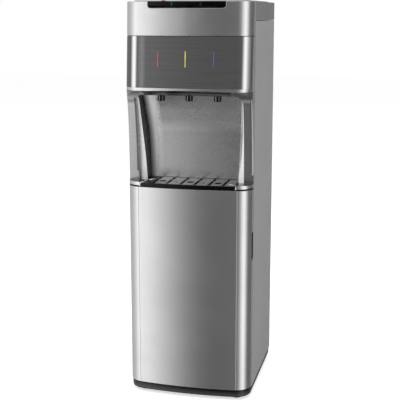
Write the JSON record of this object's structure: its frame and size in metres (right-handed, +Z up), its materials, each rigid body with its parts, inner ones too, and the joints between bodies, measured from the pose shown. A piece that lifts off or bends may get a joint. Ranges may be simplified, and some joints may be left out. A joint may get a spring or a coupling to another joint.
{
  "type": "bottom-loading water cooler",
  "caption": "Tall floor-standing water cooler: bowed silver door over a bottle bay, niche with taps and drip tray, dark brushed panel with coloured strips, push keys on top.",
  "frame": {"origin": "middle of the footprint, on the floor", "axes": "+Z up, -Y towards the user at the front, +X to the user's right"},
  "size_m": [0.33, 0.38, 1.037],
  "materials": {
    "silver_moulding": "silver metallic lacquer, satin",
    "door_sheet": "silver metallic paint, satin",
    "side_sheet": "grey powder coat, fine texture",
    "dark_brushed_steel": "horizontal brushed grain",
    "black_gloss": "polished",
    "dark_moulding": "fine texture",
    "grille_grey": "satin metallic",
    "red_mark": "smooth",
    "yellow_mark": "smooth",
    "blue_mark": "smooth",
    "niche_silver": "silver metallic lacquer, satin",
    "pale_liner": "smooth moulded",
    "galvanised_sheet": "zinc-coated sheet",
    "steel_fasteners": "bright plated",
    "spring_steel": "drawn wire",
    "tank_steel": "stainless, satin",
    "foam": "closed foam",
    "black_enamel": "gloss enamel",
    "black_rubber": "matte",
    "copper_pipe": "bare copper",
    "hose": "translucent white silicone",
    "white_fitting": "smooth moulded"
  },
  "bodies": {
    "cabinet": {"top_cover": "silver_moulding", "head_shell": "silver_moulding", "front_frame": "silver_moulding", "left_side_panel": "side_sheet", "right_side_panel": "side_sheet", "control_panel": "dark_brushed_steel", "hot_tap": "black_gloss", "ambient_tap": "black_gloss", "cold_tap": "black_gloss", "base_plate": "dark_moulding", "button_pocket": "dark_moulding", "switch_panel": "dark_moulding", "power_inlet": "dark_moulding", "drain_outlet": "dark_moulding", "probe_holder": "dark_moulding", "hot_strip": "red_mark", "ambient_strip": "yellow_mark", "cold_strip": "blue_mark", "niche_liner": "niche_silver", "bay_liner": "pale_liner", "control_box": "pale_liner", "rear_panel": "galvanised_sheet", "machine_deck": "galvanised_sheet", "tank_shelf": "galvanised_sheet", "lower_hinge": "galvanised_sheet", "upper_hinge": "galvanised_sheet", "case_screws": "steel_fasteners", "hot_spring": "spring_steel", "ambient_spring": "spring_steel", "cold_spring": "spring_steel", "cold_tank": "tank_steel", "hot_tank": "tank_steel", "cold_tank_jacket": "foam", "hot_tank_jacket": "foam", "compressor": "black_enamel", "condenser": "black_enamel", "rubber_feet": "black_rubber", "compressor_mounts": "black_rubber", "refrigerant_lines": "copper_pipe", "water_lines": "hose", "pump": "white_fitting"},
    "door": {"door_skin": "door_sheet", "door_trim_left": "silver_moulding", "door_trim_right": "silver_moulding", "door_liner": "pale_liner", "catch_magnet": "steel_fasteners"},
    "hot_button": {"hot_button": "dark_moulding", "hot_push_rod": "white_fitting"},
    "ambient_button": {"ambient_button": "dark_moulding", "ambient_push_rod": "white_fitting"},
    "cold_button": {"cold_button": "dark_moulding", "cold_push_rod": "white_fitting"},
    "child_lock": {"child_lock": "red_mark"},
    "drip_tray": {"drip_tray": "black_gloss"},
    "drip_grille": {"drip_grille": "grille_grey"},
    "hot_rocker": {"hot_rocker": "red_mark"},
    "cold_rocker": {"cold_rocker": "dark_moulding"},
    "drain_cap": {"drain_cap": "dark_moulding"},
    "bottle_probe": {"bottle_probe": "white_fitting"},
    "tank_float": {"tank_float": "white_fitting"}
  },
  "joints": [
    {"name": "door_hinge", "type": "hinge", "parent": "cabinet", "child": "door", "pos_m": [-0.15, -0.138, 0.03], "axis": [0, 0, -1], "range_deg": [0, 105]},
    {"name": "hot_button_press", "type": "slide", "parent": "cabinet", "child": "hot_button", "axis": [0, 0, -1], "range_m": [0, 0.003], "stiffness_N_per_m": 500, "springref_m": -0.002, "deforming": ["hot_spring"]},
    {"name": "ambient_button_press", "type": "slide", "parent": "cabinet", "child": "ambient_button", "axis": [0, 0, -1], "range_m": [0, 0.003], "stiffness_N_per_m": 500, "springref_m": -0.002, "deforming": ["ambient_spring"]},
    {"name": "cold_button_press", "type": "slide", "parent": "cabinet", "child": "cold_button", "axis": [0, 0, -1], "range_m": [0, 0.003], "stiffness_N_per_m": 500, "springref_m": -0.002, "deforming": ["cold_spring"]},
    {"name": "child_lock_slide", "type": "slide", "parent": "hot_button", "child": "child_lock", "axis": [0, 1, 0], "range_m": [0, 0.005]},
    {"name": "tray_slide", "type": "slide", "parent": "cabinet", "child": "drip_tray", "axis": [0, -1, 0], "range_m": [0, 0.13]},
    {"name": "grille_lift", "type": "slide", "parent": "drip_tray", "child": "drip_grille", "axis": [0, 0, 1], "range_m": [0, 0.05]},
    {"name": "hot_switch_rock", "type": "hinge", "parent": "cabinet", "child": "hot_rocker", "pos_m": [0.137, 0.171, 0.9135], "axis": [-1, 0, 0], "range_deg": [0, 14]},
    {"name": "cold_switch_rock", "type": "hinge", "parent": "cabinet", "child": "cold_rocker", "pos_m": [0.137, 0.171, 0.8885], "axis": [-1, 0, 0], "range_deg": [0, 14]},
    {"name": "drain_cap_slide", "type": "slide", "parent": "cabinet", "child": "drain_cap", "axis": [0, 1, 0], "range_m": [0, 0.02]},
    {"name": "probe_slide", "type": "slide", "parent": "cabinet", "child": "bottle_probe", "axis": [0, -1, 0], "range_m": [0, 0.23]},
    {"name": "float_rise", "type": "slide", "parent": "cabinet", "child": "tank_float", "axis": [0, 0, 1], "range_m": [0, 0.04]}
  ]
}
